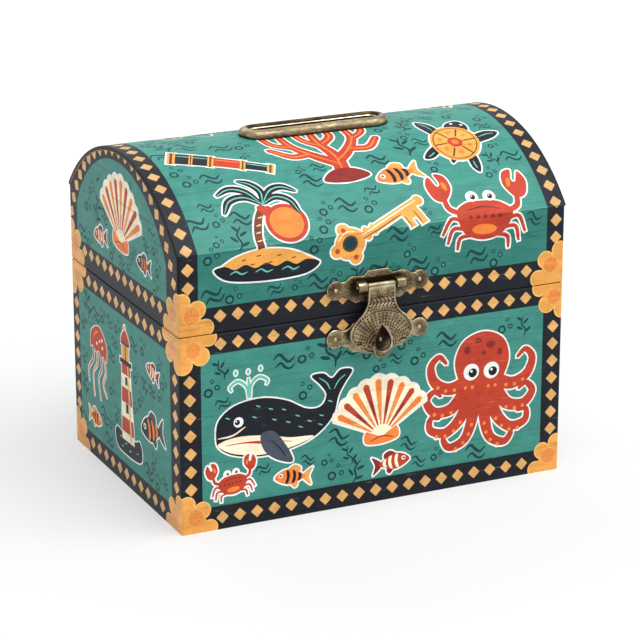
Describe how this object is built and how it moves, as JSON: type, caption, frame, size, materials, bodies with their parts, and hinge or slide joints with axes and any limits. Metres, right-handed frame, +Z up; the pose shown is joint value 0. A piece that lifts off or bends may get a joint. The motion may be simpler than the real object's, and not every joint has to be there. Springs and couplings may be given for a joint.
{
  "type": "chest money box",
  "caption": "Small wooden chest money box with an arched lid, a ringed coin slot in its crown, back hinges and a pressed metal snap hasp in front.",
  "frame": {"origin": "middle of the whole object at its base, on the surface it stands on", "axes": "+X along the front to the viewer's right, -Y out of the front, +Z up"},
  "size_m": [0.1256, 0.094, 0.1074],
  "materials": {
    "printed_board": "board covered with printed paper, satin",
    "plain_board": "bare board",
    "antique_bronze": "antique bronze plating, brushed"
  },
  "bodies": {
    "box": {"base_panel": "plain_board", "front_panel": "printed_board", "back_panel": "printed_board", "left_side_panel": "printed_board", "right_side_panel": "printed_board", "hasp_catch_plate": "antique_bronze", "hasp_catch_nail_left": "antique_bronze", "hasp_catch_nail_right": "antique_bronze", "hinge_left_box_leaf": "antique_bronze", "hinge_right_box_leaf": "antique_bronze", "hinge_left_box_nail_left": "antique_bronze", "hinge_left_box_nail_right": "antique_bronze", "hinge_right_box_nail_left": "antique_bronze", "hinge_right_box_nail_right": "antique_bronze", "hinge_left_pin": "antique_bronze", "hinge_right_pin": "antique_bronze"},
    "lid": {"lid_front_rail": "printed_board", "lid_back_rail": "printed_board", "lid_left_end": "printed_board", "lid_right_end": "printed_board", "lid_arched_top": "printed_board", "coin_slot_ring": "antique_bronze", "hasp_top_plate": "antique_bronze", "hasp_pin": "antique_bronze", "hasp_top_nail_left": "antique_bronze", "hasp_top_nail_right": "antique_bronze", "hinge_left_lid_leaf": "antique_bronze", "hinge_right_lid_leaf": "antique_bronze", "hinge_left_lid_nail_left": "antique_bronze", "hinge_left_lid_nail_right": "antique_bronze", "hinge_right_lid_nail_left": "antique_bronze", "hinge_right_lid_nail_right": "antique_bronze"},
    "hasp_flap": {"hasp_flap": "antique_bronze"}
  },
  "joints": [
    {"name": "lid_hinge", "type": "hinge", "parent": "box", "child": "lid", "pos_m": [0, 0.0457, 0.0604], "axis": [-1, 0, 0], "range_deg": [0, 180]},
    {"name": "hasp_flap_hinge", "type": "hinge", "parent": "lid", "child": "hasp_flap", "pos_m": [0, -0.0454, 0.0688], "axis": [-1, 0, 0], "range_deg": [0, 175]}
  ]
}
